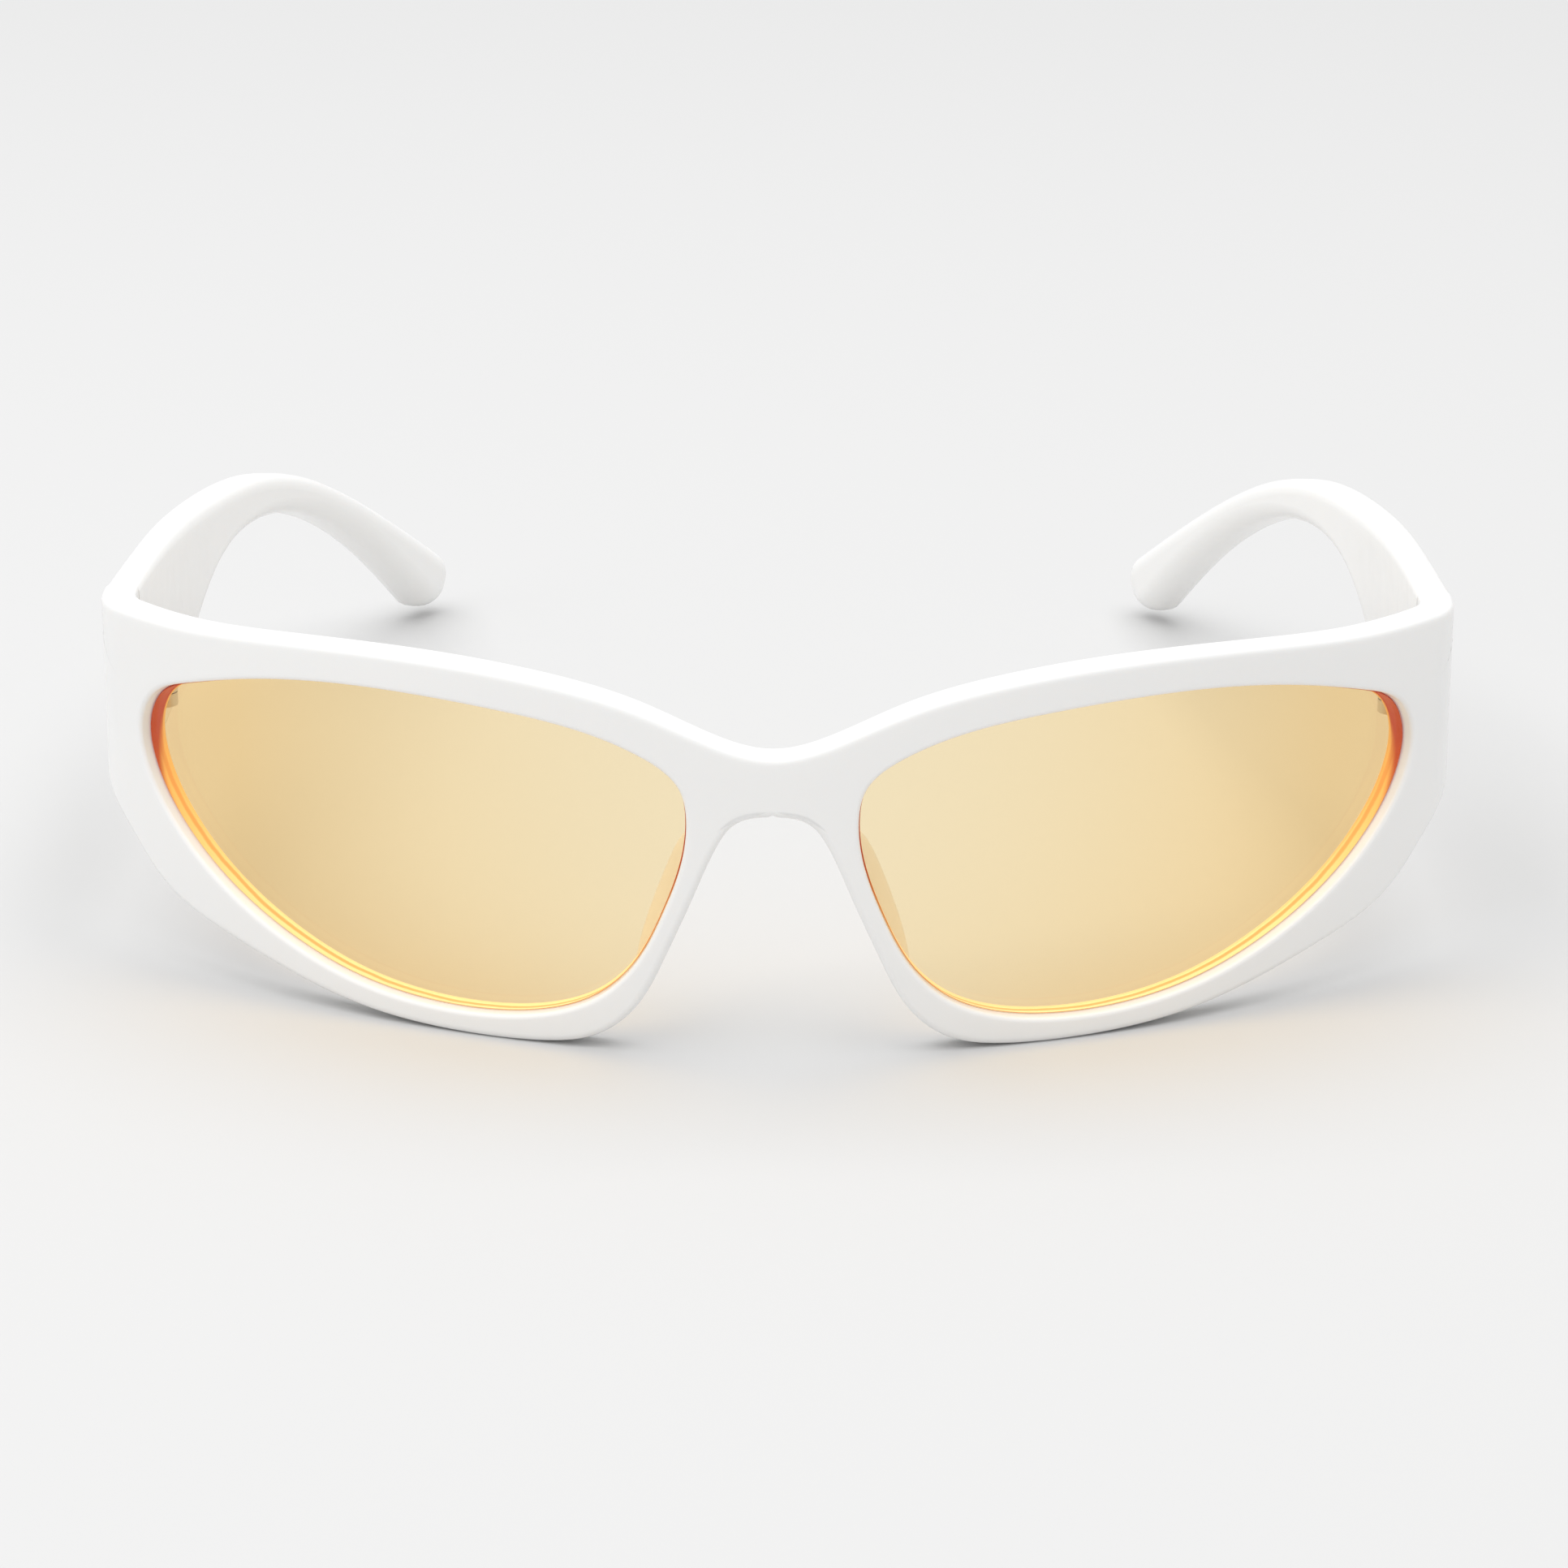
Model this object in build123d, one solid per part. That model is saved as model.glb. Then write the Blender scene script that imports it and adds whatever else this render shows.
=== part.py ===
from build123d import *
import os
from math import asin, cos, degrees, radians, sin, sqrt, tan

# Wraparound sport sunglasses, open, standing on the lower rims and the temple tips.
# Millimetres, +Z up, +X to the object's own right as seen from its front, +Y from the front to the tips.
# While the pieces are made, y is counted from the front of the bridge; place() then moves every
# finished piece so that the origin is on the table, under the middle of the whole object.

# Overall sizes
HALF_WIDTH = 70.7
BRIDGE_TO_ORIGIN = 76.3
BROW_HEIGHT = 40.7

# Front: a curved wall that leans back towards its lower edge
BASE_RADIUS = 90.0
CORNER_RADIUS = 9.0
WALL = 3.6
LEAN = 4.0
SEAM_Y = 40.0
SEAM_GAP = 0.2
EDGE_ROUND = 0.7

# Lenses: let into a groove in each rim
LENS_TURN = 24.0
LENS_RECESS = 1.3
LENS_THICKNESS = 1.8
GROOVE_DEPTH = 0.7
OUTLINE_STEPS = 32
PRISM_REACH = 14.0

# Nose saddle: a flange behind each rim, spreading outwards towards the face
FLANGE_START_Y = 4.5
FLANGE_THICKNESS = 1.7
FLANGE_SPREAD = 9.0
FLANGE_ROUND = 0.6
FLANGE_REACH = 8.5
FLANGE_MIDDLE_Z = 16.2
FLANGE_HEIGHT = 17.0
FLANGE_BACKSET = 0.1

# Temples
TEMPLE_ROUND = 1.3
TEMPLE_ROOT_LENGTH = 5.0

# Hinges: five knuckles on one screw, standing just inside the walls at the seam
HINGE_X = 64.8
HINGE_Z = 28.6
KNUCKLE_RADIUS = 1.5
KNUCKLE_HEIGHT = 1.4
KNUCKLE_GAP = 0.1
KNUCKLES = 5
LEAF_SEAT_X = 66.4
LEAF_THICKNESS = 1.0
LEAF_CLEARANCE = 0.3
LEAF_CORNER = 0.8
FRONT_LEAF_LENGTH = 4.2
TEMPLE_LEAF_LENGTH = 7.4
SEAT_MARGIN = 0.4
HINGE_ROOM = 6.0

# Screws
PIN_RADIUS = 0.6
PIN_RUNNING_FIT = 0.05
PIN_HEAD_RADIUS = 1.25
PIN_HEAD_HEIGHT = 0.7
LEAF_SCREW_LENGTH = 2.8
LEAF_SCREW_RADIUS = 0.6
LEAF_SCREW_HEAD_RADIUS = 1.05
LEAF_SCREW_HEAD_DEPTH = 0.5
LEAF_SCREW_SPREAD = 2.2
SLOT_WIDTH = 0.3
SLOT_DEPTH = 0.25

# For construction: farther than any piece reaches, a little past the seam, and the shortest rim edge
BEYOND = 80.0
PAST_SEAM = 2.0
SHORTEST_RIM_EDGE = 25.0

# Worked out from the sizes above
BASE_ANGLE = degrees(asin((HALF_WIDTH - CORNER_RADIUS) / (BASE_RADIUS - CORNER_RADIUS)))
CORNER_X = HALF_WIDTH - CORNER_RADIUS
CORNER_Y = BASE_RADIUS - (BASE_RADIUS - CORNER_RADIUS) * cos(radians(BASE_ANGLE))
LEAN_SHIFT = BROW_HEIGHT * tan(radians(LEAN))
FRONT_END_Y = SEAM_Y - SEAM_GAP / 2
TEMPLE_ROOT_Y = SEAM_Y + SEAM_GAP / 2
HINGE_HEIGHT = KNUCKLES * KNUCKLE_HEIGHT + (KNUCKLES - 1) * KNUCKLE_GAP
HINGE_BOTTOM = HINGE_Z - HINGE_HEIGHT / 2
LEAF_START = KNUCKLE_RADIUS + LEAF_CLEARANCE
LEAF_INNER_X = LEAF_SEAT_X - LEAF_THICKNESS

# Right half of the front's outline, x outwards and z up; both curves are mirrored about x = 0
BROW = [(0, 32.7), (7.4, 34.7), (13.8, 37.4), (24, 39.8), (36.8, BROW_HEIGHT), (50.5, 39.9), (61.5, 38.6),
        (72, 38.1)]
CHIN = [(0, 26.2), (3.7, 25.4), (5.6, 22.9), (7.8, 17.8), (11, 10.3), (13.7, 5.1), (17.8, 1.5), (23.3, 0.2),
        (28.5, 0.0), (35.4, 0.2), (43, 1.1), (50, 2.9), (57.5, 5.4), (64.5, 8.9), (72, 14.7)]
# Lower edge of the endpiece seen from the side, y and z
ENDPIECE_CHIN = [(30.0, 9.3), (33.5, 13.3), (36.5, 16.3), (SEAM_Y, 17.9), (46.0, 18.3)]
# Right lens opening on the front's outer face, x and z, from the nasal side over the top
OPENING = [(8.7, 25.7), (9.4, 29.0), (13.4, 32.4), (20.2, 34.9), (28.4, 36.2), (36.7, 36.7), (45.0, 36.4),
           (53.8, 34.8), (61.0, 32.3), (65.2, 29.3), (66.3, 25.7), (65.6, 21.3), (63.0, 16.5), (57.2, 10.7),
           (50.6, 6.7), (43.9, 4.1), (36.0, 2.7), (29.0, 2.6), (22.6, 3.6), (18.0, 5.6), (14.2, 9.3),
           (11.2, 15.1)]

# Right temple in side view (y, z) and in plan (y, x)
TEMPLE_TOP = [(TEMPLE_ROOT_Y, 38.1), (60, 35.7), (80, 33.3), (95, 31.5), (108, 29.8),
              (120, 26.0), (134, 18.2), (149.2, 8.1)]
TEMPLE_CHIN = [(TEMPLE_ROOT_Y, 17.9), (52, 15.8), (65, 16.0), (80, 19.8), (95, 24.2),
               (108, 24.6), (120, 21.4), (134, 12.8), (147.8, 0.6)]
TIP_END = (152.0, 4.0)
TEMPLE_OUTSIDE = [(TEMPLE_ROOT_Y, HALF_WIDTH), (60, 70.2), (80, 69.4), (95, 67.6),
                  (108, 64.3), (120, 60.1), (134, 53.9), (152, 46.0)]
TEMPLE_INSIDE = [(TEMPLE_ROOT_Y, HALF_WIDTH - WALL), (60, 66.6), (80, 65.3), (95, 63.1),
                 (108, 59.5), (120, 55.0), (134, 48.8), (152, 40.9)]


def place(solid):
    return Pos(0, -BRIDGE_TO_ORIGIN, 0) * solid


def box(x0, x1, y0, y1, z0, z1):
    return Pos((x0 + x1) / 2, (y0 + y1) / 2, (z0 + z1) / 2) * Box(x1 - x0, y1 - y0, z1 - z0)


def arc_point(radius, centre_x, centre_y, angle):
    """A point of a plan arc; the angle is counted from the direction of -Y, towards +X."""
    return (centre_x + radius * sin(radians(angle)), centre_y - radius * cos(radians(angle)))


def plan_side(inset):
    """Points of one offset of the front's plan: centre, end of the base arc, middle and end of the corner."""
    base = BASE_RADIUS - inset
    corner = CORNER_RADIUS - inset
    middle_angle = (BASE_ANGLE + 90) / 2
    return [arc_point(base, 0, BASE_RADIUS, 0), arc_point(base, 0, BASE_RADIUS, BASE_ANGLE),
            arc_point(corner, CORNER_X, CORNER_Y, middle_angle), arc_point(corner, CORNER_X, CORNER_Y, 90)]


def flip(point):
    return (-point[0], point[1])


def plan_curve(inset):
    """Offset of the front's plan from one end to the other, with straight ends past the seam."""
    centre, shoulder, corner, end = plan_side(inset)
    past_seam = (end[0], SEAM_Y + PAST_SEAM)
    return [Line(flip(past_seam), flip(end)), ThreePointArc(flip(end), flip(corner), flip(shoulder)),
            ThreePointArc(flip(shoulder), centre, shoulder), ThreePointArc(shoulder, corner, end),
            Line(end, past_seam)]


def leaning(outline):
    """Raise a plan outline into a wall that leans back towards its lower edge."""
    low = 2.0
    height = BROW_HEIGHT + 2 * low
    face = Pos(0, LEAN_SHIFT + low * tan(radians(LEAN)), -low) * make_face(outline)
    direction = (0, -sin(radians(LEAN)), cos(radians(LEAN)))
    return extrude(face, amount=height / cos(radians(LEAN)), dir=direction)


def shell(inset, depth):
    """The part of the front's wall between two depths behind its outer face."""
    outer = Curve() + plan_curve(inset)
    inner = Curve() + plan_curve(inset + depth)
    ends = [Line(outer @ 0, inner @ 0), Line(outer @ 1, inner @ 1)]
    return leaning(plan_curve(inset) + plan_curve(inset + depth) + ends)


def mirrored(points):
    return [flip(point) for point in reversed(points[1:])] + points


def front_outline():
    """The front seen from straight ahead, as a prism along Y."""
    brow = Spline(mirrored(BROW))
    chin = Spline(mirrored(CHIN))
    sides = [Line(brow @ 0, chin @ 0), Line(brow @ 1, chin @ 1)]
    return extrude(Plane.XZ * make_face([brow, chin] + sides), amount=BEYOND, both=True)


def endpiece_trim():
    """What is cut away under the endpieces, as a prism along X."""
    edge = Spline(ENDPIECE_CHIN)
    first = ENDPIECE_CHIN[0]
    last = ENDPIECE_CHIN[-1]
    rest = Polyline(last, (last[0], -BEYOND), (first[0], -BEYOND), first)
    return extrude(Plane.YZ * make_face([edge, rest]), amount=BEYOND, both=True)


def lens_plane():
    """A plane square to the right lens at its middle."""
    x, y = arc_point(BASE_RADIUS, 0, BASE_RADIUS, LENS_TURN)
    across = (cos(radians(LENS_TURN)), sin(radians(LENS_TURN)), 0)
    outwards = (sin(radians(LENS_TURN)), -cos(radians(LENS_TURN)), 0)
    return Plane(origin=(x, y, 0), x_dir=across, z_dir=outwards)


def on_lens_plane(x, z):
    """Place on the lens plane of a point of the front's outer face."""
    y = BASE_RADIUS - sqrt(BASE_RADIUS ** 2 - x ** 2)
    middle_x, middle_y = arc_point(BASE_RADIUS, 0, BASE_RADIUS, LENS_TURN)
    turn = radians(LENS_TURN)
    return ((x - middle_x) * cos(turn) + (y - middle_y) * sin(turn), z)


def opening_prism(grow):
    """The right lens opening as a prism square to the lens, made larger all round by a given amount."""
    edge = Spline([on_lens_plane(x, z) for x, z in OPENING], periodic=True)
    steps = [index / OUTLINE_STEPS for index in range(OUTLINE_STEPS)]
    grown = [edge @ step + (edge % step).rotate(Axis.Z, 90) * grow for step in steps]
    return extrude(lens_plane() * make_face(Spline(grown, periodic=True)), amount=PRISM_REACH, both=True)


def make_right_lens():
    return shell(LENS_RECESS, LENS_THICKNESS) & opening_prism(GROOVE_DEPTH)


def hinge_seat(y0, y1):
    """A flat pad on the inner face of the right wall, which a leaf is screwed to."""
    low = HINGE_BOTTOM - SEAT_MARGIN
    high = HINGE_BOTTOM + HINGE_HEIGHT + SEAT_MARGIN
    return box(LEAF_SEAT_X, HALF_WIDTH - WALL / 2, y0, y1, low, high)


def hinge_room():
    """The room that the right hinge takes out of the front's inner corner."""
    low = HINGE_BOTTOM - SEAT_MARGIN
    high = HINGE_BOTTOM + HINGE_HEIGHT + PIN_HEAD_HEIGHT + SEAT_MARGIN
    start = SEAM_Y - LEAF_START - FRONT_LEAF_LENGTH
    return box(LEAF_SEAT_X - HINGE_ROOM, LEAF_SEAT_X, start, SEAM_Y + PAST_SEAM, low, high)


def nose_flange():
    """The right side of the nose saddle, standing behind the nose side of the rim."""
    nose_side = CHIN[1:6]
    inner = Spline(nose_side)
    outer = Spline([(x + FLANGE_THICKNESS, z) for x, z in nose_side])
    section = Plane.XZ * make_face([inner, outer, Line(inner @ 0, outer @ 0), Line(inner @ 1, outer @ 1)])
    spreading = (tan(radians(FLANGE_SPREAD)), 1, 0)
    plate = extrude(Pos(0, FLANGE_START_Y, 0) * section, amount=2 * FLANGE_REACH, dir=spreading)
    lobe = Pos(FLANGE_START_Y, FLANGE_MIDDLE_Z) * Ellipse(FLANGE_REACH, FLANGE_HEIGHT / 2)
    flange = plate & extrude(Plane.YZ * lobe, amount=BEYOND)
    flange &= shell(LENS_RECESS + LENS_THICKNESS + FLANGE_BACKSET, 2 * FLANGE_REACH)
    free_edges = flange.edges().sort_by(Axis.Y)[-2:]
    return fillet(free_edges, FLANGE_ROUND)


def make_front(lens):
    """The front is finished on its right half, which is then mirrored and joined to itself."""
    front = shell(0, WALL) & front_outline()
    front -= endpiece_trim()
    front -= box(-BEYOND, BEYOND, FRONT_END_Y, BEYOND, -BEYOND, BEYOND)
    rim_edges = [edge for edge in front.edges() if edge.length > SHORTEST_RIM_EDGE]
    front = fillet(rim_edges, EDGE_ROUND)
    half = front & box(0, BEYOND, -BEYOND, BEYOND, -BEYOND, BEYOND)
    half = half - opening_prism(0) - lens
    half += nose_flange()
    half += hinge_seat(SEAM_Y - LEAF_START - FRONT_LEAF_LENGTH, FRONT_END_Y)
    half -= hinge_room()
    half = with_screw_holes(half, -1)
    return half + mirror(half, about=Plane.YZ)


def temple_side_view():
    top = Spline(TEMPLE_TOP)
    chin = Spline(TEMPLE_CHIN)
    tip = ThreePointArc(TEMPLE_TOP[-1], TIP_END, TEMPLE_CHIN[-1])
    root = Line(TEMPLE_TOP[0], TEMPLE_CHIN[0])
    return extrude(Plane.YZ * make_face([top, tip, chin, root]), amount=BEYOND)


def temple_plan():
    outside = Spline([(x, y) for y, x in TEMPLE_OUTSIDE])
    inside = Spline([(x, y) for y, x in TEMPLE_INSIDE])
    ends = [Line(outside @ 0, inside @ 0), Line(outside @ 1, inside @ 1)]
    return extrude(make_face([outside, inside] + ends), amount=BEYOND)


def make_right_temple():
    temple = temple_side_view() & temple_plan()
    beyond_root = [edge for edge in temple.edges() if edge.center().Y > SEAM_Y + TEMPLE_ROOT_LENGTH]
    temple = fillet(beyond_root, TEMPLE_ROUND)
    return temple + hinge_seat(TEMPLE_ROOT_Y, SEAM_Y + LEAF_START + TEMPLE_LEAF_LENGTH + SEAT_MARGIN)


def knuckle_bottom(index):
    return HINGE_BOTTOM + index * (KNUCKLE_HEIGHT + KNUCKLE_GAP)


def leaf_screw_places(towards):
    """Centres of a leaf's two screw heads: towards is -1 on the front's side and +1 on the temple's."""
    length = FRONT_LEAF_LENGTH if towards < 0 else TEMPLE_LEAF_LENGTH
    y = SEAM_Y + towards * (LEAF_START + length / 2)
    return [(LEAF_INNER_X, y, HINGE_Z - LEAF_SCREW_SPREAD), (LEAF_INNER_X, y, HINGE_Z + LEAF_SCREW_SPREAD)]


def along_x(place_at, solid):
    """Turn a solid made along +Z so that it points along +X, at a given place."""
    return Pos(*place_at) * Rot(0, 90, 0) * solid


def screw_body(length, radius, head_radius, head_depth):
    """A countersunk screw, from the flat of its head at z = 0 to its end, without the slot."""
    head = Pos(0, 0, head_depth / 2) * Cone(head_radius, radius, head_depth)
    shank = Pos(0, 0, length / 2) * Cylinder(radius, length)
    return head + shank


def leaf_screw_body():
    return screw_body(LEAF_SCREW_LENGTH, LEAF_SCREW_RADIUS, LEAF_SCREW_HEAD_RADIUS, LEAF_SCREW_HEAD_DEPTH)


def make_leaf_screw(place_at):
    across = LEAF_SCREW_HEAD_RADIUS + SLOT_WIDTH
    slot = box(-across, across, -SLOT_WIDTH / 2, SLOT_WIDTH / 2, -SLOT_DEPTH, SLOT_DEPTH)
    return along_x(place_at, leaf_screw_body() - slot)


def leaf_plate(near, far):
    """The flat of a leaf, with its two corners away from the hinge rounded."""
    start = min(near, far)
    end = max(near, far)
    plate = box(LEAF_INNER_X, LEAF_SEAT_X, start, end, HINGE_BOTTOM, HINGE_BOTTOM + HINGE_HEIGHT)
    away = [edge for edge in plate.edges().filter_by(Axis.X) if abs(edge.center().Y - far) < LEAF_CORNER]
    return fillet(away, LEAF_CORNER)


def make_leaf(towards, knuckles, threaded):
    """A hinge leaf: a plate with knuckles; a threaded knuckle grips the screw, the others run on it."""
    length = FRONT_LEAF_LENGTH if towards < 0 else TEMPLE_LEAF_LENGTH
    near = SEAM_Y + towards * LEAF_START
    leaf = leaf_plate(near, near + towards * length)
    for index in knuckles:
        low = knuckle_bottom(index)
        high = low + KNUCKLE_HEIGHT
        barrel = Pos(HINGE_X, SEAM_Y, (low + high) / 2) * Cylinder(KNUCKLE_RADIUS, KNUCKLE_HEIGHT)
        arm = box(LEAF_INNER_X, HINGE_X + KNUCKLE_RADIUS, min(near, SEAM_Y), max(near, SEAM_Y), low, high)
        bore_radius = PIN_RADIUS if index in threaded else PIN_RADIUS + PIN_RUNNING_FIT
        bore = Pos(HINGE_X, SEAM_Y, (low + high) / 2) * Cylinder(bore_radius, 2 * KNUCKLE_HEIGHT)
        leaf = leaf + arm + barrel - bore
    for place_at in leaf_screw_places(towards):
        leaf -= along_x(place_at, leaf_screw_body())
    return leaf


def make_hinge_screw():
    """The pin that both leaves turn on, with a slotted cheese head on the top knuckle."""
    top = HINGE_BOTTOM + HINGE_HEIGHT
    shank = Pos(HINGE_X, SEAM_Y, HINGE_Z) * Cylinder(PIN_RADIUS, HINGE_HEIGHT)
    head = Pos(HINGE_X, SEAM_Y, top + PIN_HEAD_HEIGHT / 2) * Cylinder(PIN_HEAD_RADIUS, PIN_HEAD_HEIGHT)
    across = PIN_HEAD_RADIUS + SLOT_WIDTH
    slot = box(-across, across, -SLOT_WIDTH / 2, SLOT_WIDTH / 2, -SLOT_DEPTH, SLOT_DEPTH)
    return shank + head - Pos(HINGE_X, SEAM_Y, top + PIN_HEAD_HEIGHT) * slot


def with_screw_holes(solid, towards):
    for place_at in leaf_screw_places(towards):
        solid -= along_x(place_at, leaf_screw_body())
    return solid


def right_hand_pieces():
    """Every piece of the right side, by the last part of its node's name."""
    pieces = {
        "lens": make_right_lens(),
        "temple": with_screw_holes(make_right_temple(), 1),
        "front_hinge_leaf": make_leaf(-1, [0, 2, 4], [0]),
        "temple_hinge_leaf": make_leaf(1, [1, 3], []),
        "hinge_screw": make_hinge_screw(),
    }
    for name, towards in (("front", -1), ("temple", 1)):
        for number, place_at in enumerate(leaf_screw_places(towards), start=1):
            pieces[f"{name}_leaf_screw_{number}"] = make_leaf_screw(place_at)
    return pieces


def main():
    os.makedirs("parts", exist_ok=True)
    right = right_hand_pieces()
    nodes = {"front_frame": make_front(right["lens"])}
    for name, solid in right.items():
        nodes[f"right_{name}"] = solid
        nodes[f"left_{name}"] = mirror(solid, about=Plane.YZ)
    for name, solid in nodes.items():
        export_step(place(solid), f"parts/{name}.step")


main()
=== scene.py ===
"""Wraparound sport sunglasses: a white moulded front and temples, amber lenses and metal hinges.

Outlines are in millimetres, counted as in the CAD: y from the front of the bridge, z from the table.
metres() turns them into the scene's metres and its shared origin.
"""

import math

import bmesh
import bpy
import numpy as np
from mathutils import Matrix, Vector


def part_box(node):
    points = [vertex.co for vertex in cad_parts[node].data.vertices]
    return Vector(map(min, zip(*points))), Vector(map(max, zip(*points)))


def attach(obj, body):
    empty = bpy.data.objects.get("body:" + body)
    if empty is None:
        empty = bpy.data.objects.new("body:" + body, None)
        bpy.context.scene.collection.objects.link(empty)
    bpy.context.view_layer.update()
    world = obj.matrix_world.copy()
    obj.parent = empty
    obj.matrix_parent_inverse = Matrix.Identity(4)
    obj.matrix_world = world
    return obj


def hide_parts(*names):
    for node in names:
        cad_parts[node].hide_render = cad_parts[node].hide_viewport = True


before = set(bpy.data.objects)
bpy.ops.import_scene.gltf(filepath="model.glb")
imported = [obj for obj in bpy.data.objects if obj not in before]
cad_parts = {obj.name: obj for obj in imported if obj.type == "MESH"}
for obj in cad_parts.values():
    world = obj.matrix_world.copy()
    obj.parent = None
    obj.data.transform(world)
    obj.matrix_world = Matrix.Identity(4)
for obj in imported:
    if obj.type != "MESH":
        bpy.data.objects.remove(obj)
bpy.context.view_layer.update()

MM = 0.001
SIDES = {"right": 1, "left": -1}

# Tolerances of the mesh, in metres, and the angle from which an edge is drawn sharp
CUT_TOLERANCE = 1e-7
MERGE_DISTANCE = 1e-6
SHARP_ANGLE = math.radians(40)

# Sizes of the front, in millimetres
HALF_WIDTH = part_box("front_frame")[1].x / MM
BROW_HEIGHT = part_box("front_frame")[1].z / MM
BASE_RADIUS = 90.0
CORNER_RADIUS = 9.0
WALL = 3.6
LEAN = math.tan(math.radians(4.0))
SEAM_Y = 40.0
SEAM_GAP = 0.2
SEAM_TOP = 38.0
SEAM_BOTTOM = 18.5
PAST_SEAM = 3.0
BRIDGE_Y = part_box("front_frame")[1].y / MM - (SEAM_Y - SEAM_GAP / 2)

# Rounding of the edges: how far it reaches across the face, and how deep it goes into the wall
RIM_FRONT_ROUND = (0.75, 0.7)
RIM_BACK_ROUND = (0.45, 0.45)
OPENING_FRONT_ROUND = (0.5, 0.5)
OPENING_BACK_ROUND = (0.6, 0.6)
TEMPLE_ROOT_ROUND = 0.6
TEMPLE_TIP_ROUND = 2.1
BLOCK_ROUND_STEPS = 3

# Lenses
LENS_RECESS = 1.3
LENS_THICKNESS = 1.8
LENS_CHAMFER = 0.16
LENS_GAP = 0.02

# Nose saddle: a flange behind the nose side of each rim, spreading outwards as it goes back
FLANGE_START_Y = 4.5
FLANGE_THICKNESS = 1.7
FLANGE_SPREAD = math.tan(math.radians(9.0))
FLANGE_ROUND = 0.8
FLANGE_REACH = 8.5
FLANGE_MIDDLE_Z = 16.2
FLANGE_ROWS = 10
FLANGE_RAYS = 40

# The pads inside the walls that the hinge leaves are screwed to
SEAT_X = 66.4
SEAT_DEPTH = 2.2
SEAT_Z = (24.5, 32.7)
SEAT_EASE = 0.15
FRONT_SEAT_Y = 34.0
TEMPLE_SEAT_Y = 49.6

# The plan curve of the front: its base arc, then its corner, then straight back to the seam
CORNER_X = HALF_WIDTH - CORNER_RADIUS
BASE_ANGLE = math.asin(CORNER_X / (BASE_RADIUS - CORNER_RADIUS))
CORNER_Y = BASE_RADIUS - (BASE_RADIUS - CORNER_RADIUS) * math.cos(BASE_ANGLE)
BASE_LENGTH = BASE_RADIUS * BASE_ANGLE
CORNER_LENGTH = CORNER_RADIUS * (math.pi / 2 - BASE_ANGLE)
SIDE_START = BASE_LENGTH + CORNER_LENGTH
SHEET_END = SIDE_START + SEAM_Y + PAST_SEAM - CORNER_Y


def unrolled(x):
    """Distance along the front's plan curve of a point on its base arc, from its x."""
    return BASE_RADIUS * math.asin(x / BASE_RADIUS)


# Outlines of the right half on the unrolled front: distance from the middle, and height
BROW = [(unrolled(x), z) for x, z in (
    (0, 32.7), (7.4, 34.7), (13.8, 37.4), (24, 39.8), (36.8, 40.7), (50.5, 39.9), (61.5, 38.6))]
BROW += [(BASE_LENGTH, 38.2), (SHEET_END, SEAM_TOP)]
CHIN_AHEAD = [(0, 26.2), (3.7, 25.4), (5.6, 22.9), (7.8, 17.8), (11, 10.3), (13.7, 5.1), (17.8, 1.5),
              (23.3, 0.2), (28.5, 0), (35.4, 0.2), (43, 1.1), (50, 2.9), (57.5, 5.4), (64.5, 8.9)]
NOSE_SIDE = CHIN_AHEAD[1:6]
CHIN = [(unrolled(x), z) for x, z in CHIN_AHEAD]
CHIN += [(BASE_LENGTH - 0.5, 13.5), (BASE_LENGTH + 3.2, 16.3),
         (SIDE_START + 0.6, 17.9), (SHEET_END, SEAM_BOTTOM)]
OPENING = [(unrolled(x), z) for x, z in (
    (8.7, 25.7), (9.4, 29.0), (13.4, 32.4), (20.2, 34.9), (28.4, 36.2), (36.7, 36.7), (45.0, 36.4),
    (53.8, 34.8), (61.0, 32.3), (65.2, 29.3), (66.3, 25.7), (65.6, 21.3), (63.0, 16.5), (57.2, 10.7),
    (50.6, 6.7), (43.9, 4.1), (36.0, 2.7), (29.0, 2.6), (22.6, 3.6), (18.0, 5.6), (14.2, 9.3), (11.2, 15.1))]

# Right temple in side view (y, z) and in plan (y, x)
TEMPLE_START_Y = SEAM_Y - PAST_SEAM
TEMPLE_PROUD = 0.03
TEMPLE_TOP = [(TEMPLE_START_Y, 38.2), (60, 35.7), (80, 33.3), (95, 31.5), (108, 29.8),
              (120, 26.0), (134, 18.2), (149.6, 7.8)]
TEMPLE_CHIN = [(TEMPLE_START_Y, 17.2), (52, 15.8), (65, 16.0), (80, 19.8), (95, 24.2),
               (108, 24.6), (120, 21.4), (134, 12.8), (146, 2.1)]
TEMPLE_OUTSIDE = [(TEMPLE_START_Y, HALF_WIDTH + TEMPLE_PROUD), (60, 70.2), (80, 69.4), (95, 67.6),
                  (108, 64.3), (120, 60.1), (134, 53.9), (152, 46.0)]
TEMPLE_INSIDE = [(TEMPLE_START_Y, HALF_WIDTH - WALL), (60, 66.6), (80, 65.3), (95, 63.1),
                 (108, 59.5), (120, 55.0), (134, 48.8), (152, 40.9)]


# ---------------------------------------------------------------- curves

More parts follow.
